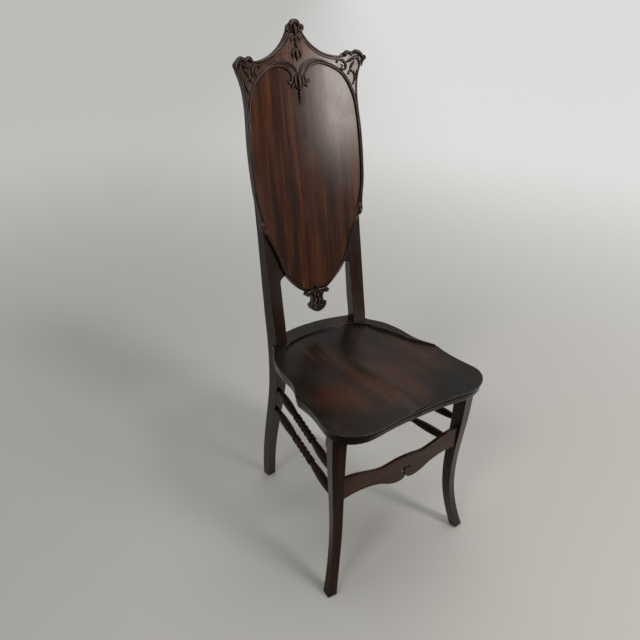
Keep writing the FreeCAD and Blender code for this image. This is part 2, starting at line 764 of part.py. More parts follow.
rail_runs, hole_right, hole_left = rail_outline()
rail_body = doc.addObject("PartDesign::Body", "RailBoard")
rail_sketch = body_sketch(rail_body, "XZ_Plane")
for run in rail_runs:
    if run == "keyhole":
        crown = Vector(size("rail_lower_shift"), size("keyhole_height") + size("keyhole_radius"), 0)
        rail_sketch.addGeometry(Part.Arc(Vector(*hole_right, 0), crown, Vector(*hole_left, 0)))
    else:
        rail_sketch.addGeometry(run_edge([Vector(x, y, 0) for x, y in run]))
doc.recompute()
rail_pad = rail_body.newObject("PartDesign::Pad", "Board")
rail_pad.Profile = rail_sketch
rail_pad.setExpression("Length", "Sizes.rail_thickness")
rail_pad.Reversed = True
rail_body.Placement = Placement(Vector(0, size("rail_front"), 0), Rotation())
volute = doc.addObject("Part::Cylinder", "Volute")
volute.setExpression("Radius", "Sizes.volute_radius")
volute.setExpression("Height", "Sizes.rail_thickness")
volute_centre = Vector(size("rail_lower_shift") + size("volute_shift"), size("rail_front"),
                       size("keyhole_height") - size("volute_shift"))
volute.Placement = Placement(volute_centre, Rotation(Vector(1, 0, 0), -90))
doc.recompute()

rail_tenons = {}
tenon_middle = size("keyhole_height") + size("rail_tenon_rise")
for hand, side_name in hands:
    tenon = doc.addObject("Part::Box", "RailTenon")
    tenon.setExpression("Width", "Sizes.rail_tenon_thickness")
    tenon.setExpression("Height", "Sizes.rail_tenon_width")
    inner = leg_out(size("leg_shank_inset")) - size("leg_knee_side") / 2
    tenon.setExpression("Length", "Sizes.rail_tenon_length + Sizes.tenon_root")
    start = inner - size("tenon_root") if hand > 0 else -inner - size("rail_tenon_length")
    middle = size("rail_front") + size("rail_thickness") / 2
    tenon.Placement = Placement(Vector(start, middle - size("rail_tenon_thickness") / 2,
                                       tenon_middle - size("rail_tenon_width") / 2), Rotation())
    rail_tenons[hand] = tenon
rail_between = cut_away(rail_body, [leg_blanks[-1], leg_blanks[1]])
rail_joined = doc.addObject("Part::MultiFuse", "RailWithTenons")
rail_joined.Shapes = [rail_between, volute, rail_tenons[-1], rail_tenons[1]]
front_rail = keep("front_rail", rail_joined)


# Seat: a saddled board, notched round the posts and bored for the legs

seat_top = size("seat_height")
seat_bottom = seat_top - size("seat_thickness")
front, rear = size("seat_front"), size("seat_rear")
wide, waist = size("seat_half_width"), size("seat_waist_half_width")
narrow = size("seat_rear_half_width")
bulge = size("seat_front_bulge")
seat_front_run = [(0, front), (50, front - 0.5), (100, front - 0.65 * bulge), (130, front - bulge),
                  (165, front - 1), (188, front + 14), (wide - 5, front + 31), (wide, front + 49),
                  (wide - 2, front + 70), (wide - 7, front + 100), (wide - 9.5, front + 132),
                  (wide - 7, front + 166)]
cusp = seat_front_run[-1]
seat_side_run = [cusp, (waist + 15, front + 187), (waist + 5, front + 209), (waist, front + 234),
                 (waist - 1.5, front + 264), (waist - 8, front + 301), (waist - 20, front + 331),
                 (waist - 35, front + 353), (waist - 41, front + 371)]
lug_run = [seat_side_run[-1], (narrow, rear - 15)]
seat_rear_run = [(narrow, rear - 15), (78, rear - 9), (50, rear - 3), (23, rear), (0, rear)]
seat_runs = [seat_front_run, seat_side_run, lug_run, seat_rear_run]


def seat_outline(inset, height):
    # The seat's outline moved inwards by the inset, as one closed wire.
    runs = [offset_points(run, inset) for run in seat_runs]
    for before, after in zip(runs, runs[1:]):
        corner = ((before[-1][0] + after[0][0]) / 2, (before[-1][1] + after[0][1]) / 2)
        before[-1] = corner
        after[0] = corner
    runs[0][0] = (0, runs[0][0][1])
    runs[-1][-1] = (0, runs[-1][-1][1])
    edges = [run_edge([Vector(x, y, height) for x, y in run]).toShape() for run in both_halves(runs)]
    return Part.Wire(edges)


nose, setback = size("nose_radius"), size("fascia_setback")
seat_sections = [(0.5 * nose, 0), (0.12 * nose, 0.25 * nose), (0, 0.8 * nose), (0.12 * nose, 1.5 * nose),
                 (0.5 * nose, 1.9 * nose), (setback, 2.0 * nose), (setback - 1.2, 2.5 * nose),
                 (setback, size("seat_thickness") - 3), (setback + 2, size("seat_thickness"))]
seat_wires = [seat_outline(inset, seat_top - down) for inset, down in seat_sections]
seat_block = Part.makeLoft(seat_wires, True, True)


def dish_height(x, y):
    # Height of the dished top: two hollows, with a soft ridge between them in front.
    deep = size("seat_dish_depth") - size("seat_rim_step")
    along = ((y - size("hollow_centre")) / size("hollow_half_length")) ** 2
    hollow = 0.0
    for hand in (-1, 1):
        across = ((x - hand * size("hollow_out")) / size("hollow_half_width")) ** 2
        hollow += math.exp(-across - along)
    fade = 1.0 / (1.0 + math.exp((y - size("ridge_end")) / size("ridge_fade")))
    ridge = size("seat_ridge_rise") * math.exp(-(x / size("ridge_half_width")) ** 2) * fade
    return seat_top - size("seat_rim_step") - deep * hollow + ridge


def dish_tool():
    # Everything above the dished surface, within the raised rim.
    columns = [-240 + 24 * i for i in range(21)]
    rows = [front - 20 + 22 * i for i in range(20)]
    grid = [[Vector(x, y, dish_height(x, y)) for y in rows] for x in columns]
    surface = Part.BSplineSurface()
    surface.interpolate(grid)
    above = surface.toShape().extrude(Vector(0, 0, 60))
    rim = [(0, rear - 44), (23, rear - 44.5), (51, rear - 47), (74, rear - 52), (95, rear - 61),
           (115, rear - 77), (130, rear - 106), (140, rear - 126), (150, rear - 149), (160, rear - 188),
           (175, rear - 216), (192, rear - 241), (wide + 6, rear - 249)]
    floor = min(dish_height(x, y) for x in columns for y in rows) - 5
    corner, end = (wide + 6, front - 18), (0, front - 18)
    runs = both_halves([rim, [rim[-1], corner], [corner, end]])
    edges = [run_edge([Vector(x, y, floor) for x, y in run]).toShape() for run in runs]
    column = Part.Face(Part.Wire(edges)).extrude(Vector(0, 0, seat_top + 20 - floor))
    return column.common(above)


saddled = doc.addObject("Part::Feature", "SaddledBoard")
saddled.Shape = seat_block.cut(dish_tool())

leg_tenons = {}
for hand, side_name in hands:
    tenon = doc.addObject("Part::Cylinder", "LegTenon")
    tenon.setExpression("Radius", "Sizes.leg_tenon / 2")
    tenon.setExpression("Height", "Sizes.leg_tenon_length + Sizes.tenon_root")
    crown = leg_centre(hand, size("leg_crown_height"))
    tenon.Placement = Placement(crown - Vector(0, 0, size("tenon_root")), Rotation())
    leg_tenons[hand] = tenon
    joined = doc.addObject("Part::Fuse", "LegWithTenon")
    joined.Base = leg_blanks[hand]
    joined.Tool = tenon
    keep("front_leg_" + side_name, cut_away(joined, [rail_tenons[hand]] + turnings[hand]))

seat_tools = [post_blanks[-1], post_blanks[1], leg_tenons[-1], leg_tenons[1]]
seat = keep("seat", cut_away(saddled, seat_tools + seat_screws[-1] + seat_screws[1]))

doc.recompute()

for item in doc.Objects:
    if "Invalid" in item.State or "Error" in item.State:
        raise RuntimeError("failed: %s %s" % (item.Name, item.Label))

os.makedirs("parts", exist_ok=True)
box = FreeCAD.BoundBox()
for name, piece in sorted(nodes.items()):
    shape = piece.Shape
    if shape.isNull() or not shape.isValid() or not shape.Solids:
        raise RuntimeError("bad shape: " + name)
    box.add(shape.BoundBox)
    print(name, len(shape.Solids), round(shape.Volume))
    shape.exportStep("parts/%s.step" % name)
print("box", box)
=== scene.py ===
import math

import bmesh
import bpy
from mathutils import Matrix, Vector


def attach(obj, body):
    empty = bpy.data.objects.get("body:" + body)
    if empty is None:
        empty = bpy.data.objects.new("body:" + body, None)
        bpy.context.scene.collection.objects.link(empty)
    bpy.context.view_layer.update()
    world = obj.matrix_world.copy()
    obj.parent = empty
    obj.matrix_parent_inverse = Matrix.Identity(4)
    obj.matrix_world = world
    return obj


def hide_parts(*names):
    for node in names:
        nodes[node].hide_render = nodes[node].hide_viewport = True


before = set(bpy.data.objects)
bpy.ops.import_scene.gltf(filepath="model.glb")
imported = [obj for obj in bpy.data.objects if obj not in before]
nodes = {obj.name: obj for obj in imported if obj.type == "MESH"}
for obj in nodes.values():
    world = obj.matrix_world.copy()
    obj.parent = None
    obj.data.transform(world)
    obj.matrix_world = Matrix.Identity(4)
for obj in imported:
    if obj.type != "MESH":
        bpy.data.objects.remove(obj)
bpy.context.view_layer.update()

scene = bpy.context.scene

# the bent, raked back, which the grain and the carvings follow, in metres
back = {"radius": 0.614, "rake": math.radians(11.28), "footDepth": 0.1159, "seatHeight": 0.45}


def addNode(tree, kind, at, values=None, **settings):
    node = tree.nodes.new(kind)
    node.location = at
    for key, value in settings.items():
        setattr(node, key, value)
    for key, value in (values or {}).items():
        node.inputs[key].default_value = value
    return node


def startGroup(name, inputs, outputs):
    tree = bpy.data.node_groups.new(name, "ShaderNodeTree")
    for label, kind, value in inputs:
        socket = tree.interface.new_socket(name=label, in_out="INPUT",
                                           socket_type="NodeSocket" + kind)
        if value is not None:
            socket.default_value = value
    for label, kind in outputs:
        tree.interface.new_socket(name=label, in_out="OUTPUT", socket_type="NodeSocket" + kind)
    return tree, tree.nodes.new("NodeGroupInput"), tree.nodes.new("NodeGroupOutput")


def addEffect(tree, group, source, at, values):
    node = addNode(tree, "ShaderNodeGroup", at, values, node_tree=group)
    if source is not None:
        tree.links.new(source, node.inputs["Vector"])
    return node


def addNoise(tree, source, at, scale, detail, rough=0.5):
    noise = addNode(tree, "ShaderNodeTexNoise", at,
                    {"Scale": scale, "Detail": detail, "Roughness": rough})
    tree.links.new(source, noise.inputs["Vector"])
    return noise


def mapRange(tree, source, at, low, high, toLow=0.0, toHigh=1.0):
    node = addNode(tree, "ShaderNodeMapRange", at, {1: low, 2: high, 3: toLow, 4: toHigh},
                   interpolation_type="SMOOTHSTEP")
    tree.links.new(source, node.inputs[0])
    return node.outputs[0]


def mathNode(tree, operation, at, first, second):
    node = addNode(tree, "ShaderNodeMath", at, operation=operation)
    for socket, value in zip(node.inputs, (first, second)):
        if isinstance(value, (int, float)):
            socket.default_value = value
        else:
            tree.links.new(value, socket)
    return node.outputs[0]


def mixColour(tree, at, mask, first, second):
    node = addNode(tree, "ShaderNodeMix", at, data_type="RGBA")
    for index, value in ((0, mask), (6, first), (7, second)):
        socket = node.inputs[index]
        if isinstance(value, float):
            socket.default_value = value
        elif isinstance(value, tuple):
            socket.default_value = (*value, 1.0)
        else:
            tree.links.new(value, socket)
    return node.outputs[2]


# grain: each layer is noise drawn out along Z of the incoming vector, cut to a mask

grainSway = {"scale": 3.0, "detail": 1.0, "middle": (0.5, 0.5, 0.5), "reach": (0.02, 0.02, 0.0)}
grainLayers = {
    "Ribbon": {"along": 0.05, "scale": 40.0, "detail": 2.0, "rough": 0.5, "mask": (0.38, 0.62)},
    "Stripe": {"along": 0.012, "scale": 190.0, "detail": 2.0, "rough": 0.55, "mask": (0.34, 0.66)},
    "Streak": {"along": 0.008, "scale": 620.0, "detail": 3.0, "rough": 0.6, "mask": (0.33, 0.67)},
    "Pore": {"along": 0.045, "scale": 1500.0, "detail": 1.0, "rough": 0.5, "mask": (0.62, 0.74)},
    "Cloud": {"along": 0.5, "scale": 9.0, "detail": 2.0, "rough": 0.5, "mask": (0.36, 0.64)},
    "Flame": {"along": 0.14, "scale": 21.0, "detail": 2.0, "rough": 0.6, "mask": (0.5, 0.66)}}


def makeGrainGroup():
    tree, start, end = startGroup("ribbonGrain", [
        ("Vector", "Vector", None), ("Ribbon Size", "Float", 40.0), ("Wander", "Float", 0.4)],
        [(layer, "Float") for layer in grainLayers])
    source = start.outputs["Vector"]
    drift = addNoise(tree, source, (-900, 200), grainSway["scale"], grainSway["detail"])
    centred = addNode(tree, "ShaderNodeVectorMath", (-720, 200), {1: grainSway["middle"]},
                      operation="SUBTRACT")
    swing = addNode(tree, "ShaderNodeVectorMath", (-560, 200), {1: grainSway["reach"]},
                    operation="MULTIPLY")
    sway = addNode(tree, "ShaderNodeVectorMath", (-400, 200), operation="SCALE")
    bent = addNode(tree, "ShaderNodeVectorMath", (-240, 200), operation="ADD")
    tree.links.new(drift.outputs["Color"], centred.inputs[0])
    tree.links.new(centred.outputs[0], swing.inputs[0])
    tree.links.new(swing.outputs[0], sway.inputs[0])
    tree.links.new(start.outputs["Wander"], sway.inputs["Scale"])
    tree.links.new(source, bent.inputs[0])
    tree.links.new(sway.outputs[0], bent.inputs[1])
    for row, (name, layer) in enumerate(grainLayers.items()):
        y = 400 - 220 * row
        stretch = addNode(tree, "ShaderNodeVectorMath", (-80, y), {1: (1.0, 1.0, layer["along"])},
                          operation="MULTIPLY")
        tree.links.new(bent.outputs[0], stretch.inputs[0])
        noise = addNoise(tree, stretch.outputs[0], (120, y), layer["scale"], layer["detail"],
                         layer["rough"])
        if name == "Ribbon":
            tree.links.new(start.outputs["Ribbon Size"], noise.inputs["Scale"])
        mask = mapRange(tree, noise.outputs["Fac"], (320, y), *layer["mask"])
        tree.links.new(mask, end.inputs[name])
    return tree


# a round or long place of another tint: full at one distance from its centre, fading by another


def makePatchGroup():
    tree, start, end = startGroup("tintPatch", [
        ("Vector", "Vector", None), ("Centre", "Vector", None), ("Stretch", "Vector", None),
        ("Fades At", "Float", 1.0), ("Full At", "Float", 0.0), ("Least", "Float", 0.0)],
        [("Mask", "Float")])
    offset = addNode(tree, "ShaderNodeVectorMath", (-600, 0), operation="SUBTRACT")
    scaled = addNode(tree, "ShaderNodeVectorMath", (-400, 0), operation="MULTIPLY")
    away = addNode(tree, "ShaderNodeVectorMath", (-200, 0), operation="LENGTH")
    fade = addNode(tree, "ShaderNodeMapRange", (0, 0), interpolation_type="SMOOTHSTEP")
    tree.links.new(start.outputs["Vector"], offset.inputs[0])
    tree.links.new(start.outputs["Centre"], offset.inputs[1])
    tree.links.new(offset.outputs[0], scaled.inputs[0])
    tree.links.new(start.outputs["Stretch"], scaled.inputs[1])
    tree.links.new(scaled.outputs[0], away.inputs[0])
    tree.links.new(away.outputs["Value"], fade.inputs[0])
    for index, label in ((1, "Fades At"), (2, "Full At"), (3, "Least")):
        tree.links.new(start.outputs[label], fade.inputs[index])
    tree.links.new(fade.outputs[0], end.inputs["Mask"])
    return tree


# edges rubbed through in broken patches, and the softened normal that finds them

edgeWear = {"samples": 6, "bend": (0.995, 0.86), "detail": 3.0, "rough": 0.6,
            "broken": (0.38, 0.62)}


def makeEdgeGroup():
    tree, start, end = startGroup("wornEdge", [
        ("Vector", "Vector", None), ("Radius", "Float", 0.0016), ("Patch Size", "Float", 40.0)],
        [("Worn", "Float"), ("Soft Normal", "Vector")])
    soft = addNode(tree, "ShaderNodeBevel", (-400, 100), samples=edgeWear["samples"])
    tree.links.new(start.outputs["Radius"], soft.inputs["Radius"])
    flat = addNode(tree, "ShaderNodeNewGeometry", (-400, -100))
    along = addNode(tree, "ShaderNodeVectorMath", (-200, 0), operation="DOT_PRODUCT")
    tree.links.new(soft.outputs[0], along.inputs[0])
    tree.links.new(flat.outputs["Normal"], along.inputs[1])
    edge = mapRange(tree, along.outputs["Value"], (0, 0), *edgeWear["bend"])
    patch = addNoise(tree, start.outputs["Vector"], (-200, -300), 1.0, edgeWear["detail"],
                     edgeWear["rough"])
    tree.links.new(start.outputs["Patch Size"], patch.inputs["Scale"])
    broken = mapRange(tree, patch.outputs["Fac"], (0, -300), *edgeWear["broken"])
    tree.links.new(mathNode(tree, "MULTIPLY", (200, 0), edge, broken), end.inputs["Worn"])
    tree.links.new(soft.outputs[0], end.inputs["Soft Normal"])
    return tree


# dark stain left in the grooves, with painted shade: ambient occlusion darkens grooves and
# undercuts where shade falls

grooveStainShade = {"samples": 8, "shelter": (0.96, 0.58)}


def makeGrooveStainShadeGroup():
    tree, start, end = startGroup("grooveStainAndShade", [("Reach", "Float", 0.006)], [("Stain And Shade", "Float")])
    nook = addNode(tree, "ShaderNodeAmbientOcclusion", (-300, 0), samples=grooveStainShade["samples"])
    tree.links.new(start.outputs["Reach"], nook.inputs["Distance"])
    stainAndShade = mapRange(tree, nook.outputs["AO"], (-60, 0), *grooveStainShade["shelter"])
    tree.links.new(stainAndShade, end.inputs["Stain And Shade"])
    return tree


# satin that changes over the surface, and the film's fine ripple

varnish = {"rubbedScale": 14.0, "rubbedDetail": 4.0, "rubbedRough": 0.62, "rubbedSpan": (0.3, 0.7),
           "swing": (-0.5, 0.5), "rippleScale": 160.0, "rippleDetail": 1.0}


def makeVarnishGroup():
    tree, start, end = startGroup("varnishFilm", [
        ("Vector", "Vector", None), ("Satin", "Float", 0.35), ("Spread", "Float", 0.12)],
        [("Roughness", "Float"), ("Ripple", "Float")])
    rubbed = addNoise(tree, start.outputs["Vector"], (-400, 100), varnish["rubbedScale"],
                      varnish["rubbedDetail"], varnish["rubbedRough"])
    ripple = addNoise(tree, start.outputs["Vector"], (-400, -200), varnish["rippleScale"],
                      varnish["rippleDetail"])
    swing = mapRange(tree, rubbed.outputs["Fac"], (-200, 100), *varnish["rubbedSpan"],
                     *varnish["swing"])
    swing = mathNode(tree, "MULTIPLY", (0, 100), swing, start.outputs["Spread"])
    satin = mathNode(tree, "ADD", (200, 100), swing, start.outputs["Satin"])
    tree.links.new(satin, end.inputs["Roughness"])
    tree.links.new(ripple.outputs["Fac"], end.inputs["Ripple"])
    return tree


grainGroup = makeGrainGroup()
patchGroup = makePatchGroup()
edgeGroup = makeEdgeGroup()
grooveStainShadeGroup = makeGrooveStainShadeGroup()
varnishGroup = makeVarnishGroup()
print("shared effects are built")

# rotations that bring each piece's grain to the Z of the grain group
grainTurns = {"up": (0.0, 0.0, 0.0), "across": (0.0, math.radians(90), 0.0),
              "deep": (math.radians(90), 0.0, 0.0), "raked": (back["rake"], 0.0, 0.0)}

# how far pores and streaks sink and the film's ripple rises, in shares of the bump's distance
surface = {"pore": -1.0, "streak": -0.25, "ripple": 0.4, "distance": 0.0002}


def makeWood(name, wood):
    material = bpy.data.materials.new(name)
    material.use_nodes = True
    tree = material.node_tree
    links = tree.links
    shader = tree.nodes["Principled BSDF"]
    shader.location = (1300, 0)
    place = addNode(tree, "ShaderNodeTexCoord", (-1300, 0)).outputs["Object"]
    turn = addNode(tree, "ShaderNodeMapping", (-1100, 0),
                   {"Rotation": grainTurns[wood["grain"]], "Location": wood["start"]})
    links.new(place, turn.inputs["Vector"])
    grain = addEffect(tree, grainGroup, turn.outputs[0], (-850, 200),
                      {"Ribbon Size": wood["ribbonSize"], "Wander": wood["wander"]})
    edge = addEffect(tree, edgeGroup, place, (-850, -100), {"Radius": wood["edgeRadius"]})
    shadedGroove = addEffect(tree, grooveStainShadeGroup, None, (-850, -300), {"Reach": wood["grooveReach"]})
    film = addEffect(tree, varnishGroup, place, (-850, -500),
                     {"Satin": wood["satin"], "Spread": wood["satinSpread"]})
    patches = []
    for row, patch in enumerate(wood["patches"]):
        spot = addEffect(tree, patchGroup, place, (-850, 700 + 220 * row),
                         {"Centre": patch["centre"], "Stretch": patch["stretch"],
                          "Fades At": patch["fadesAt"], "Full At": patch["fullAt"]})
        patches.append((spot.outputs["Mask"], patch["share"], wood[patch["tint"]]))
    rubbedAndLitTops = []
    if wood["rubbed"]:
        # tops of the relief that face the room are paler, most of all about the crest's middle:
        # rubbed wear together with painted light on the faces turned to the front
        rubbed = wood["rubbed"]
        skin = addNode(tree, "ShaderNodeNewGeometry", (-1100, -700))
        facing = addNode(tree, "ShaderNodeVectorMath", (-900, -700), {1: rubbed["facing"]},
                         operation="DOT_PRODUCT")
        links.new(skin.outputs["Normal"], facing.inputs[0])
        frontLitFace = mapRange(tree, facing.outputs["Value"], (-700, -700), *rubbed["facingSpan"])
        hand = addEffect(tree, patchGroup, place, (-850, -900),
                         {"Centre": rubbed["centre"], "Stretch": rubbed["stretch"],
                          "Fades At": rubbed["fadesAt"], "Full At": rubbed["fullAt"],
                          "Least": rubbed["least"]})
        mask = mathNode(tree, "MULTIPLY", (-380, -800), frontLitFace, hand.outputs["Mask"])
        rubbedAndLitTops.append((mask, rubbed["share"], wood["worn"]))
    # tints laid one over another: a mask, its share and the tint
    tints = [(grain.outputs["Cloud"], wood["cloudShare"], wood["warm"]),
             (grain.outputs["Flame"], wood["flameShare"], wood["deep"]),
             *patches,
             (grain.outputs["Stripe"], wood["stripeShare"], wood["deep"]),
             (grain.outputs["Streak"], wood["streakShare"], wood["deep"]),
             (grain.outputs["Pore"], wood["poreShare"], wood["pore"]),
             (edge.outputs["Worn"], wood["wornShare"], wood["worn"]),
             *rubbedAndLitTops,
             # the last tint is stain in the grooves together with painted shade in grooves and
             # undercuts
             (shadedGroove.outputs["Stain And Shade"], wood["stainAndShadeShare"], wood["stainAndShade"])]
    colour = mixColour(tree, (-560, 300), grain.outputs["Ribbon"], wood["dark"], wood["light"])
    for column, (mask, share, tint) in enumerate(tints):
        x = -380 + 180 * column
        part = mathNode(tree, "MULTIPLY", (x - 180, 500), mask, share)
        colour = mixColour(tree, (x, 300), part, colour, tint)
    links.new(colour, shader.inputs["Base Color"])
    links.new(film.outputs["Roughness"], shader.inputs["Roughness"])
    pores = mathNode(tree, "MULTIPLY", (-300, -200), grain.outputs["Pore"], surface["pore"])
    streaks = mathNode(tree, "MULTIPLY", (-300, -350), grain.outputs["Streak"], surface["streak"])
    ripple = mathNode(tree, "MULTIPLY", (-120, -350), film.outputs["Ripple"], surface["ripple"])
    height = mathNode(tree, "ADD", (60, -200),
                      mathNode(tree, "ADD", (-120, -200), pores, streaks), ripple)
    bump = addNode(tree, "ShaderNodeBump", (500, -200),
                   {"Strength": wood["relief"], "Distance": surface["distance"]})
    links.new(height, bump.inputs["Height"])
    links.new(edge.outputs["Soft Normal"], bump.inputs["Normal"])
    links.new(bump.outputs[0], shader.inputs["Normal"])
    shader.inputs["Specular IOR Level"].default_value = wood["gloss"]
    shader.inputs["Coat Weight"].default_value = wood["coat"]
    shader.inputs["Coat Roughness"].default_value = wood["coatRoughness"]
    return material


# one stained mahogany, and what differs from it in each piece

frameWood = {
    "grain": "up", "start": (0.3, 0.1, 0.0), "ribbonSize": 45.0, "wander": 0.5,
    "light": (0.034, 0.0132, 0.0062), "dark": (0.014, 0.0063, 0.0039),
    "warm": (0.05, 0.0148, 0.0052), "deep": (0.008, 0.0035, 0.0022),
    "pore": (0.005, 0.0025, 0.0018), "stainAndShade": (0.003, 0.0018, 0.0014),
    "worn": (0.1, 0.045, 0.022),
    "cloudShare": 0.3, "flameShare": 0.2, "stripeShare": 0.5, "streakShare": 0.4,
    "poreShare": 0.6, "stainAndShadeShare": 0.85, "wornShare": 0.45,
    "edgeRadius": 0.0016, "grooveReach": 0.006, "relief": 0.3,
    "satin": 0.29, "satinSpread": 0.1, "gloss": 0.36, "coat": 0.1, "coatRoughness": 0.2,
    "patches": [], "rubbed": None}
postWood = dict(frameWood, grain="raked")
railWood = dict(
    frameWood, grain="across", start=(0.0, 0.2, 0.7),
    light=(0.075, 0.028, 0.0135), dark=(0.032, 0.0135, 0.0075))
turnedWood = dict(
    frameWood, grain="deep", start=(0.2, 0.0, 0.4),
    light=(0.032, 0.0125, 0.0056), gloss=0.15, coat=0.0)
seatWood = dict(
    frameWood, grain="deep", start=(0.13, 0.4, 0.2), ribbonSize=26.0, wander=1.0,
    light=(0.0095, 0.0049, 0.0032), dark=(0.0045, 0.0026, 0.0019),
    warm=(0.076, 0.024, 0.0072), deep=(0.003, 0.0018, 0.0014), worn=(0.05, 0.024, 0.013),
    cloudShare=0.66, flameShare=0.55, stripeShare=0.35, streakShare=0.3, wornShare=0.3,
    satin=0.27, satinSpread=0.12, gloss=0.42, coat=0.15,
    patches=[  # worn warm on the left in front, and darker towards the rim
        {"centre": (-0.11, -0.13, 0.45), "stretch": (9.0, 11.0, 0.0),
         "fadesAt": 1.0, "fullAt": 0.1, "share": 0.55, "tint": "warm"},
        {"centre": (0.0, -0.03, 0.45), "stretch": (4.8, 4.5, 0.0),
         "fadesAt": 0.72, "fullAt": 1.05, "share": 0.8, "tint": "deep"}])
crestWood = dict(
    postWood, start=(0.5, 0.3, 0.1), ribbonSize=40.0,
    light=(0.15, 0.068, 0.04), dark=(0.086, 0.041, 0.025),
    warm=(0.128, 0.053, 0.029), deep=(0.042, 0.0185, 0.0115),
    # the crest's grooves and undercuts carry strong painted shade with the stain
    stainAndShadeShare=0.94, grooveReach=0.007, satin=0.23, satinSpread=0.08, gloss=0.45)
carvedWood = dict(
    postWood, light=(0.03, 0.0138, 0.0086), dark=(0.012, 0.0057, 0.0038),
    warm=(0.036, 0.0133, 0.0067), worn=(0.15, 0.073, 0.044),
    wornShare=0.3, stainAndShadeShare=0.6, edgeRadius=0.0009, grooveReach=0.003,
    satin=0.24, gloss=0.42, coat=0.06,
    # painted light with rubbed wear: relief faces turned to the front are paler
    rubbed={"facing": (0.0, -math.cos(back["rake"]), math.sin(back["rake"])),
            "facingSpan": (0.72, 0.99), "centre": (0.0, 0.0, 1.03), "stretch": (1.0, 0.0, 1.0),
            "fadesAt": 0.15, "fullAt": 0.06, "least": 0.16, "share": 0.5})
veneerWood = dict(
    postWood, start=(0.27, 0.0, 0.35), ribbonSize=66.0, wander=0.8,
    light=(0.13, 0.042, 0.0125), dark=(0.042, 0.0135, 0.0062),
    warm=(0.11, 0.026, 0.008), deep=(0.017, 0.007, 0.0045), pore=(0.012, 0.005, 0.0035),
    cloudShare=0.35, flameShare=0.75, stripeShare=0.45, streakShare=0.5,
    poreShare=0.25, wornShare=0.0, grooveReach=0.009, relief=0.12,
    satin=0.24, satinSpread=0.06, gloss=0.4, coat=0.12, coatRoughness=0.18,
    patches=[  # dark flames on the right
        {"centre": (0.066, 0.0, 0.83), "stretch": (62.0, 0.0, 7.5),
         "fadesAt": 1.0, "fullAt": 0.25, "share": 0.72, "tint": "deep"},
        {"centre": (0.098, 0.0, 0.79), "stretch": (80.0, 0.0, 12.0),
         "fadesAt": 1.0, "fullAt": 0.3, "share": 0.5, "tint": "deep"}])

frameMaterial = makeWood("frameMahogany", frameWood)
postMaterial = makeWood("postMahogany", postWood)
railMaterial = makeWood("railMahogany", railWood)
turnedMaterial = makeWood("turnedMahogany", turnedWood)
seatMaterial = makeWood("seatMahogany", seatWood)
crestMaterial = makeWood("crestMahogany", crestWood)
carvedMaterial = makeWood("carvedMahogany", carvedWood)
veneerMaterial = makeWood("ribbonVeneer", veneerWood)

screwSteel = {"light": (0.42, 0.4, 0.37), "dark": (0.2, 0.17, 0.14), "satin": 0.45}


def makeSteel(name, steel):
    material = bpy.data.materials.new(name)
    material.use_nodes = True
    tree = material.node_tree
    shader = tree.nodes["Principled BSDF"]
    place = addNode(tree, "ShaderNodeTexCoord", (-800, 0)).outputs["Object"]
    film = addEffect(tree, varnishGroup, place, (-500, -200), {"Satin": steel["satin"]})
    colour = mixColour(tree, (-250, 100), film.outputs["Ripple"], steel["light"], steel["dark"])
    tree.links.new(colour, shader.inputs["Base Color"])
    tree.links.new(film.outputs["Roughness"], shader.inputs["Roughness"])
    shader.inputs["Metallic"].default_value = 1.0
    return material


steelMaterial = makeSteel("dulledSteel", screwSteel)


def dress(names, material):
    for name in names:
        node = nodes[name]
        node.data.materials.clear()
        node.data.materials.append(material)


carvedWords = ("bead", "carving", "bellflower", "scroll")
dress(["seat"], seatMaterial)
dress(["front_rail"], railMaterial)
dress([name for name in nodes if "stretcher" in name], turnedMaterial)
dress(["front_leg_left", "front_leg_right", "screw_plugs"], frameMaterial)
dress(["rear_post_left", "rear_post_right", "shield_board"], postMaterial)
dress(["crest_frame"], crestMaterial)
dress(["veneer_panel"], veneerMaterial)
dress(["shield_screws", "seat_screws"], steelMaterial)
dress([name for name in nodes if any(word in name for word in carvedWords)], carvedMaterial)
print("the frame is dressed")

# relief on the back: a point is given across, up its length and forwards of its face

perMetre = 1000  # the carvings are drawn in millimetres, and so are weld and sunk
chisel = {"roundness": 3, "smoothness": 8, "ballSegments": 14, "ballRings": 9,
          "startTaper": 0.4, "endTaper": 0.5, "weld": 0.02, "sunk": -0.2}


def onBack(across, up, forward):
    bow = back["radius"] - math.sqrt(back["radius"] ** 2 - across ** 2)
    depth = -forward - bow
    turned = Matrix.Rotation(-back["rake"], 3, "X") @ Vector((across, depth, up))
    return turned + Vector((0.0, back["footDepth"], back["seatHeight"]))


def strokeMesh(name, strokes):
    # a stroke is a smooth tapered run of (across, up, radius) in millimetres
    curve = bpy.data.curves.new(name, "CURVE")
    curve.dimensions = "3D"
    curve.bevel_depth = 1.0
    curve.bevel_resolution = chisel["roundness"]
    curve.resolution_u = chisel["smoothness"]
    curve.use_fill_caps = True
    for stroke in strokes:
        spline = curve.splines.new("BEZIER")
        spline.bezier_points.add(len(stroke) - 1)
        for point, (across, up, radius) in zip(spline.bezier_points, stroke):
            point.co = (across, up, 0.0)
            point.radius = radius
            point.handle_left_type = point.handle_right_type = "AUTO"
    holder = bpy.data.objects.new(name, curve)
    scene.collection.objects.link(holder)
    bpy.context.view_layer.update()
    mesh = bpy.data.meshes.new_from_object(holder)
    bpy.data.objects.remove(holder)
    mesh.name = name
    return mesh


